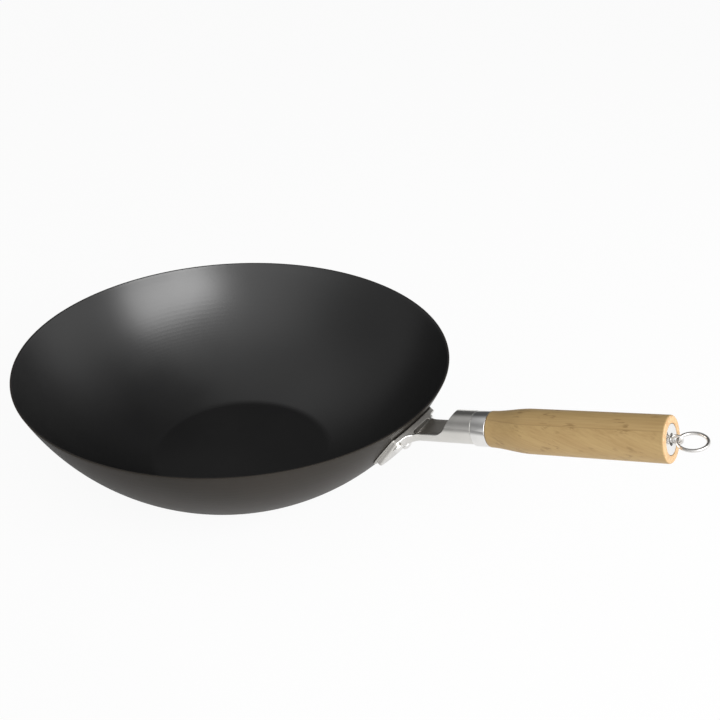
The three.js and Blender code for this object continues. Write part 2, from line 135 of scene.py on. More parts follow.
# Geometry Nodes: round wire bent to a circle in the XY plane
def wireLoopTree():
    tree = bpy.data.node_groups.new("wireLoop", "GeometryNodeTree")
    tree.interface.new_socket("Radius", in_out="INPUT", socket_type="NodeSocketFloat")
    tree.interface.new_socket("Wire", in_out="INPUT", socket_type="NodeSocketFloat")
    tree.interface.new_socket("Material", in_out="INPUT", socket_type="NodeSocketMaterial")
    tree.interface.new_socket("Loop", in_out="OUTPUT", socket_type="NodeSocketGeometry")
    given = addNode(tree, "NodeGroupInput").outputs
    path = addNode(tree, "GeometryNodeCurvePrimitiveCircle", {"Resolution": 128, "Radius": given["Radius"]})
    wire = addNode(tree, "GeometryNodeCurvePrimitiveCircle", {"Resolution": 28, "Radius": given["Wire"]})
    swept = addNode(tree, "GeometryNodeCurveToMesh", {"Curve": path.outputs["Curve"],
                    "Profile Curve": wire.outputs["Curve"]})
    soft = addNode(tree, "GeometryNodeSetShadeSmooth", {"Geometry": swept.outputs["Mesh"]})
    real = addNode(tree, "GeometryNodeRealizeInstances", {"Geometry": soft.outputs["Geometry"]})
    done = addNode(tree, "GeometryNodeSetMaterial", {"Geometry": real.outputs["Geometry"],
                   "Material": given["Material"]})
    addNode(tree, "NodeGroupOutput", {"Loop": done.outputs["Geometry"]})
    return tree


# Geometry Nodes: one rivet on each point, standing along the point's own direction
def rivetTree():
    tree = bpy.data.node_groups.new("rivetSet", "GeometryNodeTree")
    tree.interface.new_socket("Points", in_out="INPUT", socket_type="NodeSocketGeometry")
    tree.interface.new_socket("Rivet", in_out="INPUT", socket_type="NodeSocketObject")
    tree.interface.new_socket("Material", in_out="INPUT", socket_type="NodeSocketMaterial")
    tree.interface.new_socket("Rivets", in_out="OUTPUT", socket_type="NodeSocketGeometry")
    given = addNode(tree, "NodeGroupInput").outputs
    shape = addNode(tree, "GeometryNodeObjectInfo", {"Object": given["Rivet"]})
    outward = addNode(tree, "GeometryNodeInputNamedAttribute", {"Name": "outward"}, data_type="FLOAT_VECTOR")
    turn = addNode(tree, "FunctionNodeAlignRotationToVector", {"Vector": outward.outputs["Attribute"]},
                   axis="Z")
    spread = addNode(tree, "GeometryNodeInstanceOnPoints", {"Points": given["Points"],
                     "Instance": shape.outputs["Geometry"], "Rotation": turn.outputs["Rotation"]})
    real = addNode(tree, "GeometryNodeRealizeInstances", {"Geometry": spread.outputs["Instances"]})
    done = addNode(tree, "GeometryNodeSetMaterial", {"Geometry": real.outputs["Geometry"],
                   "Material": given["Material"]})
    addNode(tree, "NodeGroupOutput", {"Rivets": done.outputs["Geometry"]})
    return tree


turning = turningTree()
wireLoop = wireLoopTree()
rivetSet = rivetTree()


# runs a tree on an object and leaves a plain mesh, moved to its place
def bakeTree(obj, tree, values, place=None, sharpAngle=None):
    modifier = obj.modifiers.new("nodes", "NODES")
    modifier.node_group = tree
    for item in tree.interface.items_tree:
        if item.in_out == "INPUT" and item.name in values:
            modifier[item.identifier] = values[item.name]
    bpy.context.view_layer.update()
    evaluated = obj.evaluated_get(bpy.context.evaluated_depsgraph_get())
    mesh = bpy.data.meshes.new_from_object(evaluated)
    obj.modifiers.remove(modifier)
    obj.data = mesh
    mesh.materials.clear()
    mesh.materials.append(values["Material"])
    mesh.polygons.foreach_set("material_index", [0] * len(mesh.polygons))
    edit = bmesh.new()
    edit.from_mesh(mesh)
    bmesh.ops.recalc_face_normals(edit, faces=edit.faces)
    edit.to_mesh(mesh)
    edit.free()
    if place is not None:
        mesh.transform(place)
    if sharpAngle is not None:
        mesh.set_sharp_from_angle(angle=math.radians(sharpAngle))
    return obj


def meshObject(name, points, faces=()):
    mesh = bpy.data.meshes.new(name)
    mesh.from_pydata([tuple(p) for p in points], [], [tuple(f) for f in faces])
    obj = bpy.data.objects.new(name, mesh)
    bpy.context.scene.collection.objects.link(obj)
    return obj


# turns (radius, height) points in millimetres; insideFrom marks where the inner skin begins
def turnedPiece(name, profile, sides, material, place=None, sharpAngle=None, insideFrom=None):
    obj = meshObject(name, [(r * mm, 0, h * mm) for r, h in profile])
    if insideFrom is not None:
        flag = obj.data.attributes.new("inside", "FLOAT", "POINT")
        flag.data.foreach_set("value", [1.0 if i >= insideFrom else 0.0 for i in range(len(profile))])
    return bakeTree(obj, turning, {"Sides": sides, "Material": material}, place, sharpAngle)


# rounds the corners of an open chain of points
def rounded(points, radius, steps=4):
    made = [points[0]]
    for before, corner, after in zip(points, points[1:], points[2:]):
        a, c, b = (Vector(p) for p in (before, corner, after))
        reach = min(radius, (a - c).length * 0.45, (b - c).length * 0.45)
        first, last = c + (a - c).normalized() * reach, c + (b - c).normalized() * reach
        for i in range(steps + 1):
            t = i / steps
            made.append(tuple(first * (1 - t) ** 2 + c * 2 * t * (1 - t) + last * t ** 2))
    return made + [points[-1]]


def finishPiece(piece, body, slot, *nodes):
    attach(piece, body)
    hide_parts(*nodes)


# bowl: flat base, corner arc and one wall arc, in millimetres
bowl = dict(rimRadius=178.0, height=102.4, baseRadius=77.5, arcRadius=186.0, cornerRadius=20.0,
            sheet=1.5, rimRound=0.5, sides=240, wallSteps=44, bendSteps=10, flatSteps=6,
            outsideTones=("#302d29", "#383430"), outsideGloss=0.06,
            insideTones=("#0c0c0d", "#121212"), insideGloss=0.9)
rimPoint = Vector((bowl["rimRadius"], bowl["height"]))
basePoint = Vector((bowl["baseRadius"], 0))
chord = rimPoint - basePoint
chordOut = Vector((chord.y, -chord.x)).normalized()
chordDepth = math.sqrt(bowl["arcRadius"] ** 2 - chord.length_squared / 4)
wallCentre = basePoint + chord / 2 - chordOut * chordDepth
rimAngle = math.atan2(rimPoint.y - wallCentre.y, rimPoint.x - wallCentre.x)
cornerReach = bowl["arcRadius"] - bowl["cornerRadius"]
cornerDrop = wallCentre.y - bowl["cornerRadius"]
cornerCentre = Vector((wallCentre.x + math.sqrt(cornerReach ** 2 - cornerDrop ** 2), bowl["cornerRadius"]))
cornerAngle = math.atan2(-cornerDrop, cornerCentre.x - wallCentre.x)


def arc(centre, radius, start, end, steps):
    angles = np.linspace(start, end, steps + 1)
    return [(centre.x + radius * math.cos(a), centre.y + radius * math.sin(a)) for a in angles]


def bowlSkin(inset):
    wallRadius = bowl["arcRadius"] - inset
    top = math.asin((bowl["height"] - wallCentre.y) / wallRadius)
    bend = arc(cornerCentre, bowl["cornerRadius"] - inset, -math.pi / 2, cornerAngle, bowl["bendSteps"])
    wall = arc(wallCentre, wallRadius, cornerAngle, top, bowl["wallSteps"])
    flat = [(bend[0][0] * i / bowl["flatSteps"], inset) for i in range(bowl["flatSteps"])]
    return flat + bend + wall[1:]


# steel sheet, spun and coated black: satin, with clouds of about 70 mm and grit of about 1 mm
# the spinning rings are drawn coarser than real ones, so that they show
spinning = dict(cloudScale=14.0, gritScale=900.0, ringSpacing=2.4, waveUnit=0.314, smooth=0.3, rough=0.36,
                ringBump=0.03, gritBump=0.06)


def spunBlackSteel(name, tones, gloss):
    s = spinning
    material, tree, shader = newMaterial(name)
    place = addNode(tree, "ShaderNodeTexCoord").outputs["Object"]
    cloud = addNode(tree, "ShaderNodeTexNoise", {"Vector": place, "Scale": s["cloudScale"],
                    "Detail": 5.0}).outputs["Fac"]
    grit = addNode(tree, "ShaderNodeTexNoise", {"Vector": place, "Scale": s["gritScale"],
                   "Detail": 2.0}).outputs["Fac"]
    rings = addNode(tree, "ShaderNodeTexWave", {"Vector": place,
                    "Scale": s["waveUnit"] / (s["ringSpacing"] * mm),
                    "Distortion": 1.2, "Detail": 2.0, "Detail Scale": 0.4},
                    wave_type="RINGS", rings_direction="Z").outputs["Fac"]
    tone = colourRamp(tree, cloud, [(0.3, tones[0]), (0.7, tones[1])])
    tree.links.new(tone, shader.inputs["Base Color"])
    tree.links.new(mapRange(tree, cloud, 0.3, 0.7, s["smooth"], s["rough"]), shader.inputs["Roughness"])
    shader.inputs["Specular IOR Level"].default_value = gloss
    ringBump = addNode(tree, "ShaderNodeBump", {"Height": rings, "Strength": s["ringBump"],
                       "Distance": 0.3 * mm})
    gritBump = addNode(tree, "ShaderNodeBump", {"Height": grit, "Strength": s["gritBump"],
                       "Distance": 0.2 * mm, "Normal": ringBump.outputs["Normal"]})
    tree.links.new(gritBump.outputs["Normal"], shader.inputs["Normal"])
    return material


def makeBowl():
    outer, inner = bowlSkin(0), bowlSkin(bowl["sheet"])
    rim = rounded([outer[-2], outer[-1], inner[-1], inner[-2]], bowl["rimRound"])[1:-1]
    profile = outer[:-1] + rim + inner[-2::-1]
    firstInside = len(outer) - 1 + len(rim) // 2
    # the outside is greyer and less glossy than the inside
    outside = spunBlackSteel("spunSteelOutside", bowl["outsideTones"], bowl["outsideGloss"])
    inside = spunBlackSteel("spunSteelInside", bowl["insideTones"], bowl["insideGloss"])
    piece = turnedPiece("bowlSkin", profile, bowl["sides"], outside, insideFrom=firstInside)
    piece.data.materials.append(inside)
    within = piece.data.attributes["inside"].data
    for face in piece.data.polygons:
        face.material_index = int(min(within[v].value for v in face.vertices) > 0.5)
    finishPiece(piece, "wok", "bowl_steel", "bowl")


makeBowl()
print("bowl turned")

# handle line: it crosses the rim radius below the rim and rises outwards
handle = dict(belowRim=9.5, rise=17.13)
rise = math.radians(handle["rise"])
along = Vector((math.cos(rise), 0, math.sin(rise)))
side = Vector((0, 1, 0))
upward = Vector((-math.sin(rise), 0, math.cos(rise)))
handleRoot = Vector((bowl["rimRadius"], 0, bowl["height"] - handle["belowRim"])) * mm


def placement(origin, xAxis, yAxis, zAxis):
    turn = Matrix((xAxis, yAxis, zAxis)).transposed().to_4x4()
    return Matrix.Translation(origin) @ turn


# local Z runs along the handle, local Y to the side, local X down
handlePlace = placement(handleRoot, -upward, side, along)


# a place on the wall, and the way out from it, from the distance below the rim along the wall
def wallOut(belowRim):
    angle = rimAngle - belowRim / bowl["arcRadius"]
    return Vector((math.cos(angle), math.sin(angle)))


def wallPoint(belowRim, out):
    return wallCentre + wallOut(belowRim) * (bowl["arcRadius"] + out)


# what two fields have in common, and both together, with a round of that radius where they meet
def roundMax(a, b, radius):
    corner = np.hypot(np.maximum(radius + a, 0), np.maximum(radius + b, 0))
    return np.minimum(-radius, np.maximum(a, b)) + corner


def roundMin(a, b, radius):
    corner = np.hypot(np.maximum(radius - a, 0), np.maximum(radius - b, 0))
    return np.maximum(radius, np.minimum(a, b)) - corner


# signed distance to an outline whose two sides are alike, from (half width, below rim) points
def outlineDistance(half, below, foot, chain, radius):
    distance = below - foot
    for start, end in zip(chain, chain[1:]):
        run = Vector(end) - Vector(start)
        away = Vector((run.y, -run.x)).normalized()
        edge = (half - start[0]) * away.x + (below - start[1]) * away.y
        distance = roundMax(distance, edge, radius)
    return distance


# bracket: a shallow tray with a flange on the wall, an open trough and a tube with a slanted mouth
bracket = dict(sheet=2.0, gap=0.1, seatHeight=4.7, top=6.8, droop=4.6, topGap=0.6, topHalf=28.0,
               half=29.5, wide=35.0, footHalf=24.6, foot=43.8, seatRound=0.9, cornerRound=5.0,
               lipRound=1.5, lipMargin=2.0, lipFade=3.0, flangeTop=17.0, flangeTopHalf=32.0,
               flangeHalf=33.7, flangeWideFrom=29.0, flangeWideTo=34.0, flangeFootHalf=26.0,
               flangeFoot=45.0, flangeBlend=0.7, flangeSheet=1.1, tubeRadius=12.2, tubeRise=0.65,
               fillet=8.0, endFillet=4.0, neckRoom=2.5, troughLevel=-1.0, troughRise=3.0,
               troughFade=2.5, mouthFoot=24.2, mouthTop=34.6, mouthRound=4.0, crimpStart=50.55,
               spigotStart=50.7, spigotEnd=60.7, spigotRadius=11.25, edgeRound=0.4, skirtDullShade=0.7,
               cell=0.48)


# signed distance to the pressed bracket, in millimetres, and a mask of painted shade in the trough and on the
# skirt, where the sheet is also rougher
def bracketShape(p):
    b = bracket
    x, y, z = p[..., 0], p[..., 1], p[..., 2]
    dr, dz = np.hypot(x, y) - wallCentre.x, z - wallCentre.y
    out = np.hypot(dr, dz) - bowl["arcRadius"]
    below = (rimAngle - np.arctan2(dz, dr)) * bowl["arcRadius"]
    half = np.abs(y)
    aboveTop = b["top"] + b["droop"] * np.minimum(half / b["topHalf"], 1) ** 2 - below
    # the raised tray, the flange round it, and the gap under its lip
    topCorner = (b["topHalf"], b["top"] + b["droop"])
    seatEdge = (topCorner, (b["half"], b["wide"]), (b["footHalf"], b["foot"]))
    flangeEdge = (topCorner, (b["flangeTopHalf"], b["flangeTop"]), (b["flangeHalf"], b["flangeWideFrom"]),
                  (b["flangeHalf"], b["flangeWideTo"]), (b["flangeFootHalf"], b["flangeFoot"]))
    seat = outlineDistance(half, below, b["foot"], seatEdge, b["cornerRound"])
    seat = roundMax(seat, aboveTop, b["lipRound"])
    flange = outlineDistance(half, below, b["flangeFoot"], flangeEdge, b["cornerRound"])
    flange = roundMax(flange, np.maximum(out - b["gap"] - b["flangeSheet"], b["gap"] - out), b["edgeRound"])
    flange = roundMax(flange, -(seat + b["sheet"]), b["edgeRound"])
    flange = roundMax(flange, topCorner[1] - below, b["edgeRound"])
    raised = roundMax(out - b["seatHeight"], seat, b["seatRound"])
    tray = roundMax(raised, -(raised + b["sheet"]), b["edgeRound"])
    inTop = (np.clip((b["flangeTop"] - b["lipMargin"] - below) / b["lipFade"], 0, 1)
             * np.clip((b["topHalf"] - half) / b["lipMargin"], 0, 1))
    tray = roundMax(tray, b["gap"] + (b["topGap"] - b["gap"]) * inTop - out, b["edgeRound"])
    plate = roundMin(tray, flange, b["flangeBlend"])
    # the tube that flows into the tray, cut open above the trough and crimped to a spigot
    dx, dz = x - handleRoot.x / mm, z - handleRoot.z / mm
    s, n = dx * along.x + dz * along.z, dx * upward.x + dz * upward.z
    crimp = np.clip((s - b["crimpStart"]) / (b["spigotStart"] - b["crimpStart"]), 0, 1)
    radius = b["tubeRadius"] + (b["spigotRadius"] - b["tubeRadius"]) * crimp
    tube = np.hypot(y, n - b["tubeRise"] * (1 - crimp)) - radius
    skin = roundMin(raised, tube, b["fillet"])
    hollow = roundMin(-(skin + b["sheet"]), out - b["seatHeight"], b["endFillet"])
    shell = roundMax(skin, hollow, b["edgeRound"])
    level = n - b["troughLevel"]
    mouthRise = b["tubeRise"] + b["tubeRadius"] - b["troughLevel"]
    slope = Vector((b["mouthTop"] - b["mouthFoot"], mouthRise)).normalized()
    beyond = (s - b["mouthFoot"]) * slope.y - level * slope.x
    kept = roundMin(-roundMax(-level, beyond, b["mouthRound"]), out - b["seatHeight"], b["troughRise"])
    neck = roundMax(roundMax(shell, kept, b["edgeRound"]), s - b["spigotEnd"], b["edgeRound"])
    neck = np.maximum(neck, np.minimum(aboveTop, b["seatHeight"] + b["neckRoom"] - out))
    neck = np.maximum(neck, b["seatHeight"] - 0.5 * b["sheet"] - out)
    # painted shade: the trough and the skirt are marked for a darker tone and a rougher finish
    inTrough = np.clip(-b["troughFade"] * skin / b["sheet"] - 1, 0, 1)
    onSkirt = b["skirtDullShade"] * np.clip(b["seatHeight"] - b["edgeRound"] - out, 0, 1)
    return np.minimum(neck, plate), np.maximum(inTrough, onSkirt)


def bracketField(p):
    return bracketShape(p)[0]


# the net's points are pulled onto the surface; step is in millimetres, reach in cells
settle = dict(passes=3, step=0.01, flattest=0.25, reach=0.3)


# meshes the zero level of a field on a grid of cells, one point in each cell that it crosses
def surfaceNet(field, low, high, cell):
    counts = [int(math.ceil((h - l) / cell)) + 1 for l, h in zip(low, high)]
    lines = [l + cell * np.arange(c) for l, c in zip(low, counts)]
    values = field(np.stack(np.meshgrid(*lines, indexing="ij"), axis=-1))
    corners = [(i, j, k) for i in (0, 1) for j in (0, 1) for k in (0, 1)]
    cells = [c - 1 for c in counts]
    pick = lambda c: values[c[0]:c[0] + cells[0], c[1]:c[1] + cells[1], c[2]:c[2] + cells[2]]
    total, hits = np.zeros(cells + [3]), np.zeros(cells)
    for a in corners:
        for axis in range(3):
            if a[axis]:
                continue
            b = tuple(v + (1 if i == axis else 0) for i, v in enumerate(a))
            va, vb = pick(a), pick(b)
            crossed = (va < 0) != (vb < 0)
            share = np.where(crossed, va / np.where(crossed, va - vb, 1), 0)
            for i in range(3):
                total[..., i] += np.where(crossed, a[i] + (share if i == axis else 0), 0)
            hits += crossed
    used = hits > 0
    index = np.full(cells, -1)
    index[used] = np.arange(used.sum())
    base = np.stack(np.nonzero(used), axis=-1)
    points = np.array(low) + cell * (base + total[used] / hits[used][:, None])
    faces = []
    for axis in range(3):
        o1, o2 = [(axis + 1) % 3, (axis + 2) % 3]
        first = [slice(1, c - 1) for c in counts]
        first[axis] = slice(0, counts[axis] - 1)
        second = list(first)
        second[axis] = slice(1, counts[axis])
        va, vb = values[tuple(first)], values[tuple(second)]
        for flip, where in ((False, (va < 0) & (vb >= 0)), (True, (va >= 0) & (vb < 0))):
            at = np.stack(np.nonzero(where), axis=-1)
            at[:, [i for i in range(3) if i != axis]] += 1
            ring = []
            for d1, d2 in ((-1, -1), (0, -1), (0, 0), (-1, 0)):
                q = at.copy()
                q[:, o1] += d1
                q[:, o2] += d2
                ring.append(index[q[:, 0], q[:, 1], q[:, 2]])
            faces.append(np.stack(ring[::-1] if flip else ring, axis=-1))
    reach = settle["reach"] * cell
    for _ in range(settle["passes"]):
        value = field(points)
        slopes = np.stack([(field(points + d) - field(points - d)) / (2 * settle["step"])
                           for d in np.eye(3) * settle["step"]], axis=-1)
        steep = np.maximum((slopes ** 2).sum(axis=1), settle["flattest"])
        move = -(value / steep)[:, None] * slopes
        points += np.clip(move, -reach, reach)
    return points, np.concatenate(faces)


# pressed stainless sheet: bright, with painted shade (darker tones) and more roughness in the trough and on
# the skirt, and faint marks across the handle
# a mark is about 0.7 mm wide and 17 mm long
pressing = dict(markScale=60.0, markSqueeze=0.04, cloudScale=60.0, bright=("#dcdad5", "#e6e4e0"),
                dullAndPaintedShade=("#aaa7a2", "#b4b1ac"), smooth=0.2, rough=0.26, dullRoughness=0.28, markBump=0.012)


def pressedSteel():
    p = pressing
    material, tree, shader = newMaterial("pressedSteel")
    place = addNode(tree, "ShaderNodeTexCoord").outputs["Object"]
    turned = addNode(tree, "ShaderNodeMapping", {"Vector": place, "Rotation": (0, -rise, 0),
                     "Scale": (p["markSqueeze"], 1.0, 1.0)}, vector_type="TEXTURE").outputs["Vector"]
    marks = addNode(tree, "ShaderNodeTexNoise", {"Vector": turned, "Scale": p["markScale"],
                    "Detail": 4.0}).outputs["Fac"]
    cloud = addNode(tree, "ShaderNodeTexNoise", {"Vector": place, "Scale": p["cloudScale"],
                    "Detail": 3.0}).outputs["Fac"]
    dullShadeMask = addNode(tree, "ShaderNodeAttribute", attribute_name="dullAndPaintedShade").outputs["Fac"]
    tone = colourRamp(tree, cloud, [(0.3, p["bright"][0]), (0.7, p["bright"][1])])
    # these darker tones are painted shade for the trough and the skirt
    dullAndPaintedShade = colourRamp(tree, cloud, [(0.3, p["dullAndPaintedShade"][0]), (0.7, p["dullAndPaintedShade"][1])])
    tree.links.new(mixColour(tree, dullShadeMask, tone, dullAndPaintedShade), shader.inputs["Base Color"])
    gloss = mapRange(tree, marks, 0.3, 0.7, p["smooth"], p["rough"])
    tree.links.new(calc(tree, "ADD", gloss, calc(tree, "MULTIPLY", dullShadeMask, p["dullRoughness"])),
                   shader.inputs["Roughness"])
    bump = addNode(tree, "ShaderNodeBump", {"Height": marks, "Strength": p["markBump"],
                   "Distance": 0.2 * mm})
    tree.links.new(bump.outputs["Normal"], shader.inputs["Normal"])
    shader.inputs["Metallic"].default_value = 1.0
    return material


def makeBracket():
    low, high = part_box("handle_bracket")
    room = bracket["sheet"]  # free room for the net round the solid
    low, high = [v / mm - room for v in low], [v / mm + room for v in high]
    points, faces = surfaceNet(bracketField, low, high, bracket["cell"])
    piece = meshObject("bracketPressing", points * mm, faces)
    # painted shade: the mask that darkens the trough and the skirt
    dullAndPaintedShade = piece.data.attributes.new("dullAndPaintedShade", "FLOAT", "POINT")
    dullAndPaintedShade.data.foreach_set("value", bracketShape(points)[1].astype(np.float32))
    piece.data.materials.append(pressedSteel())
    piece.data.shade_smooth()
    finishPiece(piece, "wok", "bracket_steel", "handle_bracket")


makeBracket()
print("bracket pressed")


# polished plated steel of the ferrule, cap and rivets, and the duller drawn wire of the eye and ring
# both have faint clouds of about 8 mm
def polishedSteel(name, tones, dullness):
    material, tree, shader = newMaterial(name)
    place = addNode(tree, "ShaderNodeTexCoord").outputs["Object"]
    cloud = addNode(tree, "ShaderNodeTexNoise", {"Vector": place, "Scale": 120.0,
                    "Detail": 4.0}).outputs["Fac"]
    tone = colourRamp(tree, cloud, [(0.3, tones[0]), (0.7, tones[1])])
    tree.links.new(tone, shader.inputs["Base Color"])
    tree.links.new(mapRange(tree, cloud, 0.3, 0.7, dullness, dullness + 0.04), shader.inputs["Roughness"])
    shader.inputs["Metallic"].default_value = 1.0
    return material


brightSteel = polishedSteel("polishedSteel", ("#ebeae8", "#f3f2f0"), 0.06)
wireSteel = polishedSteel("drawnWire", ("#d6d4d1", "#dedcd9"), 0.34)

# rivets: two beside the trough and one below it, each with a shoulder under the tray
# innerCurve gives shares of the inner head's radius and height
rivet = dict(shank=2.5, shoulder=3.4, headRadius=4.2, headHeight=3.0, headEdge=0.6, headGap=0.03,
             innerHeight=1.4, innerGap=0.05, innerCurve=((0.55, 0.85), (0.9, 0.4)), shoulderGap=0.2,
             edge=0.25, side=22.0, sideBelowRim=18.0, lowerBelowRim=32.0, sides=40, sharpAngle=40)


def makeRivets():
    r = rivet
    wall = -bowl["sheet"] - r["innerGap"]
    seat = bracket["seatHeight"] + r["headGap"]
    hollow = bracket["seatHeight"] - bracket["sheet"] - r["shoulderGap"]
    top = seat + r["headHeight"]
    domeFoot, domeRise = seat + r["headEdge"], r["headHeight"] - r["headEdge"]
    dome = [(r["headRadius"] * math.cos(a), domeFoot + domeRise * math.sin(a))
            for a in np.linspace(0, math.pi / 2, 12)]
    curve = [(r["headRadius"] * across, wall - r["innerHeight"] * deep) for across, deep in r["innerCurve"]]
    inner = [(0, wall - r["innerHeight"])] + curve + [(r["headRadius"], wall)]
    stem = [(r["shank"], wall), (r["shank"], r["shoulderGap"]), (r["shoulder"], r["shoulderGap"]),
            (r["shoulder"], hollow), (r["shank"], hollow), (r["shank"], seat), (r["headRadius"], seat)]
    profile = rounded(inner + stem + dome[:1], r["edge"], 3)[:-1] + dome[:-1] + [(0, top)]
    shape = turnedPiece("rivetShape", profile, r["sides"], brightSteel, sharpAngle=r["sharpAngle"])
    points, directions = [], []
    for offset, belowRim in ((-r["side"], r["sideBelowRim"]), (r["side"], r["sideBelowRim"]),
                             (0, r["lowerBelowRim"])):
        on, away = wallPoint(belowRim, 0), wallOut(belowRim)
        turn = math.asin(offset / on.x)
        points.append((on.x * math.cos(turn) * mm, offset * mm, on.y * mm))
        directions += [away.x * math.cos(turn), away.x * math.sin(turn), away.y]
    piece = meshObject("rivets", points)
    outward = piece.data.attributes.new("outward", "FLOAT_VECTOR", "POINT")
    outward.data.foreach_set("vector", directions)
    bakeTree(piece, rivetSet, {"Rivet": shape, "Material": brightSteel}, sharpAngle=r["sharpAngle"])
    bpy.data.objects.remove(shape)
    finishPiece(piece, "wok", "bright_steel", "rivet_near", "rivet_far", "rivet_lower")


makeRivets()
print("rivets set")

# handle pieces are turned from (radius, distance along the handle); their corners stay sharp past turnedSharp
turnedSharp = 40
ferrule = dict(start=50.75, end=62.1, radius=12.85, wall=1.3, edge=0.5, sides=96)


def makeFerrule():
    f = ferrule
    loop = [(f["radius"] - f["wall"], f["start"]), (f["radius"], f["start"]), (f["radius"], f["end"]),
            (f["radius"] - f["wall"], f["end"])]
    inner = (f["radius"] - f["wall"], (f["start"] + f["end"]) / 2)
    profile = rounded([inner] + loop + [inner], f["edge"])
    piece = turnedPiece("ferruleRing", profile, f["sides"], brightSteel, handlePlace, turnedSharp)
    finishPiece(piece, "wok", "bright_steel", "ferrule")


grip = dict(shoulder=62.4, end=188.7, frontRadius=12.9, bellyRadius=15.55, endRadius=15.35, bellyAt=30.7,
            chamfer=0.8, frontEdge=0.4, endRound=0.5, tenonFront=51.4, tenonRadius=8.95, bore=3.4,
            recessRadius=10.3, recessFloor=183.7, seam=10.9, slant=22.0, swellSteps=24, sides=120)

# fibres of about 1.4 mm, bands of 6 mm, flecks of 1.6 mm in clusters of 13 mm; lengths are 1 / stretch as long
bamboo = dict(fibreScale=700.0, bandScale=160.0, fibreStretch=0.05, fleckScale=620.0, fleckStretch=0.2,
              clusterScale=75.0, fleckDark=0.65, glueHalf=0.1, glueFade=0.35, glueDark=0.3, endDepth=0.55)


# oiled bamboo: fibres, a glue line and short dark flecks in clusters, paler on the cut end
def oiledBamboo():
    m = bamboo
    material, tree, shader = newMaterial("oiledBamboo")
    place = addNode(tree, "ShaderNodeTexCoord").outputs["Object"]
    local = addNode(tree, "ShaderNodeMapping", {"Vector": place, "Location": handleRoot,
                    "Rotation": (0, -rise, 0)}, vector_type="TEXTURE").outputs["Vector"]
    axes = addNode(tree, "ShaderNodeSeparateXYZ", {"Vector": local})
    # fibres of the lower slat run aslant, those of the upper slat along the grip
    slant = addNode(tree, "ShaderNodeMapping", {"Vector": local,
                    "Rotation": (0, -math.radians(grip["slant"]), 0)}, vector_type="POINT").outputs["Vector"]
    lowSlat = calc(tree, "LESS_THAN", axes.outputs["Z"], grip["seam"] * mm)
    grain = addNode(tree, "ShaderNodeMix", {"Factor": lowSlat, "A": local, "B": slant},
                    data_type="VECTOR").outputs["Result"]
    long = addNode(tree, "ShaderNodeMapping", {"Vector": grain,
                   "Scale": (m["fibreStretch"], 1.0, 1.0)}).outputs["Vector"]
    short = addNode(tree, "ShaderNodeMapping", {"Vector": grain,
                    "Scale": (m["fleckStretch"], 1.0, 1.0)}).outputs["Vector"]
    fibre = addNode(tree, "ShaderNodeTexNoise", {"Vector": long, "Scale": m["fibreScale"], "Detail": 5.0,
                    "Roughness": 0.6}).outputs["Fac"]
    band = addNode(tree, "ShaderNodeTexNoise", {"Vector": long, "Scale": m["bandScale"],
                   "Detail": 2.0}).outputs["Fac"]
    fleck = addNode(tree, "ShaderNodeTexNoise", {"Vector": short, "Scale": m["fleckScale"],
                    "Detail": 2.0}).outputs["Fac"]
    cluster = addNode(tree, "ShaderNodeTexNoise", {"Vector": local, "Scale": m["clusterScale"],
                      "Detail": 1.0}).outputs["Fac"]
    tone = colourRamp(tree, fibre, [(0.25, "#a58655"), (0.5, "#b89a68"), (0.75, "#c4a775")])
    wash = colourRamp(tree, band, [(0.3, "#b0905f"), (0.7, "#c3a571")])
    body = mixColour(tree, 0.45, tone, wash)
    spots = calc(tree, "MULTIPLY", mapRange(tree, fleck, 0.52, 0.62, 0.0, m["fleckDark"]),
                 mapRange(tree, cluster, 0.56, 0.66, 0.0, 1.0))
    flecked = mixColour(tree, spots, body, linear("#86683c"))
    fromSeam = calc(tree, "ABSOLUTE", calc(tree, "SUBTRACT", axes.outputs["Z"], grip["seam"] * mm))
    glue = mapRange(tree, fromSeam, m["glueHalf"] * mm, m["glueFade"] * mm, m["glueDark"], 0.0)
    seamed = mixColour(tree, glue, flecked, linear("#8a6d42"))
    atEnd = calc(tree, "GREATER_THAN", axes.outputs["X"], (grip["end"] - m["endDepth"]) * mm)
    endTone = colourRamp(tree, fleck, [(0.35, "#d6b285"), (0.7, "#c29b6c")])
    tree.links.new(mixColour(tree, atEnd, seamed, endTone), shader.inputs["Base Color"])
    tree.links.new(mapRange(tree, fibre, 0.0, 1.0, 0.42, 0.6), shader.inputs["Roughness"])
    bump = addNode(tree, "ShaderNodeBump", {"Height": fibre, "Strength": 0.12, "Distance": 0.2 * mm})
    tree.links.new(bump.outputs["Normal"], shader.inputs["Normal"])
    return material


def makeGrip():
    g = grip
    swell = []
    for i in range(g["swellSteps"] + 1):
        t = i / g["swellSteps"]
        eased = t * t * (3 - 2 * t)
        swell.append((g["frontRadius"] + (g["bellyRadius"] - g["frontRadius"]) * eased,
                      g["shoulder"] + g["bellyAt"] * t))
    end = rounded([swell[-1], (g["endRadius"], g["end"] - g["chamfer"]),
                   (g["endRadius"] - g["chamfer"], g["end"]), (g["recessRadius"], g["end"]),
                   (g["recessRadius"], g["recessFloor"])], g["endRound"])
    front = [(g["bore"], g["tenonFront"]), (g["tenonRadius"], g["tenonFront"]),
             (g["tenonRadius"], g["shoulder"]), (g["frontRadius"] - g["frontEdge"], g["shoulder"])]
    swell[0] = (g["frontRadius"], g["shoulder"] + g["frontEdge"])
    profile = front + swell + end[1:] + [(g["bore"], g["recessFloor"]), front[0]]
    piece = turnedPiece("gripWood", profile, g["sides"], oiledBamboo(), handlePlace, turnedSharp)
    finishPiece(piece, "wok", "grip_wood", "grip")


cap = dict(back=187.2, face=188.4, radius=10.0, hole=4.0, edge=0.35, sides=96)


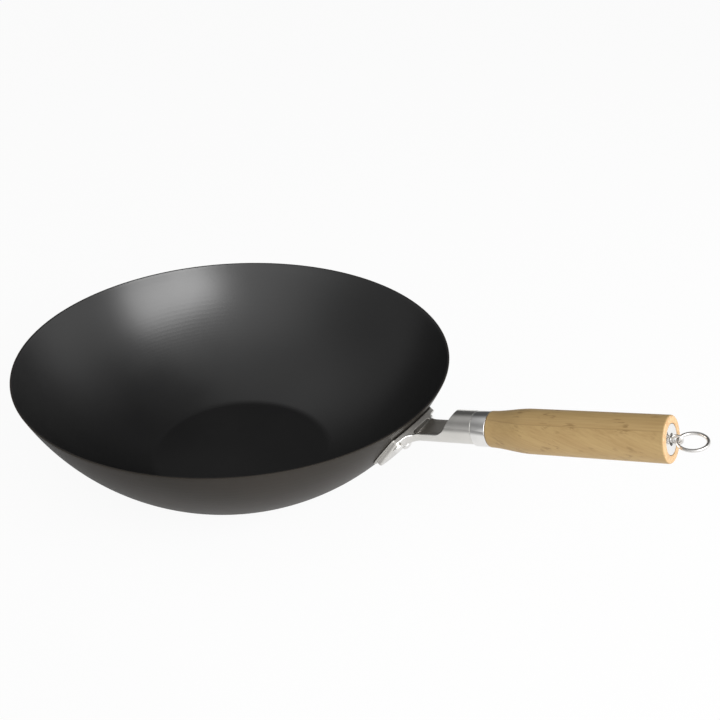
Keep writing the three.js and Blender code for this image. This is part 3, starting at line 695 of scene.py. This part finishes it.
def makeCap():
    c = cap
    loop = [(c["hole"], c["back"]), (c["radius"], c["back"]), (c["radius"], c["face"]),
            (c["hole"], c["face"])]
    inner = (c["hole"], (c["back"] + c["face"]) / 2)
    profile = rounded([inner] + loop + [inner], c["edge"])
    piece = turnedPiece("endCap", profile, c["sides"], brightSteel, handlePlace, turnedSharp)
    finishPiece(piece, "wok", "bright_steel", "end_cap")


eyeBolt = dict(front=38.6, rod=3.0, collarFront=185.5, collarBack=186.9, collar=5.2, neck=2.2,
               centre=192.0, eyeRadius=2.85, wire=0.95, roll=6.4, tip=0.6, edge=0.4, sides=64)


def makeEyeBolt():
    e = eyeBolt
    top = e["centre"] - e["eyeRadius"]
    profile = rounded([(0, e["front"]), (e["rod"], e["front"]), (e["rod"], e["collarFront"]),
                       (e["collar"], e["collarFront"]), (e["collar"], e["collarBack"]),
                       (e["neck"], e["collarBack"]), (e["neck"], top - e["tip"]), (0, top)], e["edge"])
    piece = turnedPiece("eyeBolt", profile, e["sides"], wireSteel, handlePlace, turnedSharp)
    roll = Matrix.Rotation(math.radians(e["roll"]), 4, "Z")
    loopPlace = (handlePlace @ roll @ Matrix.Translation((0, 0, e["centre"] * mm))
                 @ Matrix.Rotation(math.radians(90), 4, "X"))
    loop = bakeTree(meshObject("eyeLoop", [(0, 0, 0)]), wireLoop, {"Radius": e["eyeRadius"] * mm,
                    "Wire": e["wire"] * mm, "Material": wireSteel}, loopPlace)
    edit = bmesh.new()
    edit.from_mesh(piece.data)
    edit.from_mesh(loop.data)
    edit.to_mesh(piece.data)
    edit.free()
    bpy.data.objects.remove(loop)
    finishPiece(piece, "wok", "bright_steel", "eye_bolt")


ring = dict(pivot=192.3, radius=9.1, wire=1.1, tilt=6.3)


def makeRing():
    r = ring
    roll = Matrix.Rotation(math.radians(eyeBolt["roll"]), 4, "Z")
    tilt = Matrix.Rotation(math.radians(r["tilt"]), 4, "Y")
    # the loop's plane holds the swing axis and the way out along the handle
    lay = Matrix.Rotation(math.radians(90), 4, "Y")
    place = (handlePlace @ roll @ Matrix.Translation((0, 0, r["pivot"] * mm)) @ tilt
             @ Matrix.Translation((0, 0, r["radius"] * mm)) @ lay)
    piece = bakeTree(meshObject("ringWire", [(0, 0, 0)]), wireLoop, {"Radius": r["radius"] * mm,
                     "Wire": r["wire"] * mm, "Material": wireSteel}, place)
    finishPiece(piece, "ring", "bright_steel", "hanging_ring")


# dull zinc plating of the fasteners inside the handle, with a spangle of about 2 mm
def zincPlate():
    material, tree, shader = newMaterial("zincPlate")
    place = addNode(tree, "ShaderNodeTexCoord").outputs["Object"]
    spangle = addNode(tree, "ShaderNodeTexVoronoi", {"Vector": place,
                      "Scale": 500.0}).outputs["Distance"]
    tone = colourRamp(tree, spangle, [(0.1, "#8f9393"), (0.7, "#a7abab")])
    tree.links.new(tone, shader.inputs["Base Color"])
    tree.links.new(mapRange(tree, spangle, 0.0, 1.0, 0.35, 0.5), shader.inputs["Roughness"])
    shader.inputs["Metallic"].default_value = 1.0
    return material


# the fasteners inside the handle keep their own shape
def dressFasteners():
    dullSteel = zincPlate()
    for name in ("anchor_disc", "lock_washer", "rod_nut", "thrust_washer"):
        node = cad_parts[name]
        node.data.materials.clear()
        node.data.materials.append(dullSteel)


makeFerrule()
makeGrip()
makeCap()
makeEyeBolt()
makeRing()
dressFasteners()
print("handle assembled")


# floor: distances in metres along nearWay; shares of plain white as the camera and as metal see it
floorLook = dict(half=6.0, nearWay=(-0.45, -0.89, 0.0), light="#f4f4f4", shaded="#989898", shadeFrom=0.12,
                 shadeTo=0.4, seenLight=0.93, seenShaded=0.985, mirrorFrom=-0.35, mirrorTo=0.05,
                 mirrorFar=0.9, mirrorNear=0.15)


# a floor that shows white yet keeps the shadow; its paper falls into shade on the near side
def makeFloor():
    f = floorLook
    h = f["half"]
    floor = meshObject("floor", [(-h, -h, 0), (h, -h, 0), (h, h, 0), (-h, h, 0)], [(0, 1, 2, 3)])
    material, tree, shader = newMaterial("whiteFloor")
    place = addNode(tree, "ShaderNodeTexCoord").outputs["Object"]
    near = addNode(tree, "ShaderNodeVectorMath", {0: place, 1: f["nearWay"]},
                   operation="DOT_PRODUCT").outputs["Value"]
    shade = mapRange(tree, near, f["shadeFrom"], f["shadeTo"], 0.0, 1.0)
    tree.links.new(mixColour(tree, shade, linear(f["light"]), linear(f["shaded"])),
                   shader.inputs["Base Color"])
    shader.inputs["Roughness"].default_value = 1.0
    shader.inputs["Specular IOR Level"].default_value = 0.0
    path = addNode(tree, "ShaderNodeLightPath").outputs
    seen = calc(tree, "MAXIMUM", path["Is Camera Ray"], path["Is Transmission Ray"])
    white = mapRange(tree, shade, 0.0, 1.0, f["seenLight"], f["seenShaded"])
    mirrored = mapRange(tree, near, f["mirrorFrom"], f["mirrorTo"], f["mirrorFar"], f["mirrorNear"])
    share = calc(tree, "MAXIMUM", calc(tree, "MULTIPLY", seen, white),
                 calc(tree, "MULTIPLY", path["Is Glossy Ray"], mirrored))
    glow = addNode(tree, "ShaderNodeEmission", {"Color": (1, 1, 1, 1), "Strength": 1.0})
    both = addNode(tree, "ShaderNodeMixShader", {"Fac": share, 1: shader.outputs["BSDF"],
                   2: glow.outputs["Emission"]})
    tree.links.new(both.outputs["Shader"], tree.nodes["Material Output"].inputs["Surface"])
    floor.data.materials.append(material)


# grey studio, from below to overhead, and the share of plain white that metal sees in it
studioLook = dict(sky=((0.0, 0.8), (0.2, 0.75), (0.42, 0.5), (0.6, 0.58), (0.82, 0.75), (1.0, 0.62)),
                  dimFrom=-0.8, dimTo=0.2, dimLevel=0.5, mirrored=0.04)
# each card is (way to it, edge and middle as cosines, level outside and inside)
cards = dict(window=((0.5, -0.866, 0.0), 0.4, 0.9, 0.8, 1.9),
             farPanel=((-0.41, 0.78, 0.47), 0.65, 0.9, 1.0, 0.2),
             highPanel=((0.233, 0.524, 0.819), 0.85, 0.95, 1.0, 0.2),
             rightCard=((0.579, 0.741, 0.342), 0.85, 0.97, 1.0, 1.5),
             leftCard=((-0.75, 0.0, 0.66), 0.85, 0.97, 1.0, 1.4))


def makeWorld():
    s = studioLook
    world = bpy.data.worlds.new("studio")
    world.use_nodes = True
    tree = world.node_tree
    tree.nodes.clear()
    sight = addNode(tree, "ShaderNodeTexCoord").outputs["Generated"]
    axes = addNode(tree, "ShaderNodeSeparateXYZ", {"Vector": sight})
    sky = colourRamp(tree, axes.outputs["Z"], s["sky"])
    level = mapRange(tree, axes.outputs["X"], s["dimFrom"], s["dimTo"], s["dimLevel"], 1.0)
    for way, edge, middle, outside, within in cards.values():
        near = addNode(tree, "ShaderNodeVectorMath", {0: sight, 1: way},
                       operation="DOT_PRODUCT").outputs["Value"]
        level = calc(tree, "MULTIPLY", level, mapRange(tree, near, edge, middle, outside, within))
    studio = addNode(tree, "ShaderNodeBackground", {"Color": sky, "Strength": level})
    white = addNode(tree, "ShaderNodeBackground", {"Color": (1, 1, 1, 1), "Strength": 1.0})
    path = addNode(tree, "ShaderNodeLightPath").outputs
    seen = calc(tree, "MAXIMUM", path["Is Camera Ray"], path["Is Transmission Ray"])
    share = calc(tree, "MAXIMUM", seen, calc(tree, "MULTIPLY", path["Is Glossy Ray"], s["mirrored"]))
    both = addNode(tree, "ShaderNodeMixShader", {"Fac": share, 1: studio.outputs["Background"],
                   2: white.outputs["Background"]})
    addNode(tree, "ShaderNodeOutputWorld", {"Surface": both.outputs["Shader"]})
    bpy.context.scene.world = world


keyBox = dict(place=(1.71, -0.3, 1.1), target=(0, 0, 0.05), size=(1.87, 1.0), power=35)


def makeKeyBox():
    k = keyBox
    data = bpy.data.lights.new("keyBox", "AREA")
    data.shape = "RECTANGLE"
    data.size, data.size_y = k["size"]
    data.energy = k["power"]
    lamp = bpy.data.objects.new("keyBox", data)
    lamp.location = k["place"]
    lamp.rotation_euler = (Vector(k["target"]) - Vector(k["place"])).to_track_quat("-Z", "Y").to_euler()
    bpy.context.scene.collection.objects.link(lamp)


# the photograph's view
viewpoint = dict(place=(0.4632, -0.5081, 0.4794), forward=(-0.4814, 0.7234, -0.4950),
                 right=(0.8326, 0.5540, 0.0), sensor=36.0, lens=46.77, clipEnd=50)


def makeCamera():
    v = viewpoint
    data = bpy.data.cameras.new("camera")
    data.sensor_width = v["sensor"]
    data.lens = v["lens"]
    data.clip_end = v["clipEnd"]
    camera = bpy.data.objects.new("camera", data)
    forward = Vector(v["forward"]).normalized()
    right = Vector(v["right"]).normalized()
    camera.matrix_world = placement(Vector(v["place"]), right, right.cross(forward), -forward)
    bpy.context.scene.collection.objects.link(camera)
    bpy.context.scene.camera = camera


makeFloor()
makeWorld()
makeKeyBox()
makeCamera()
bpy.context.scene.view_settings.view_transform = "Standard"
print("stage lit")
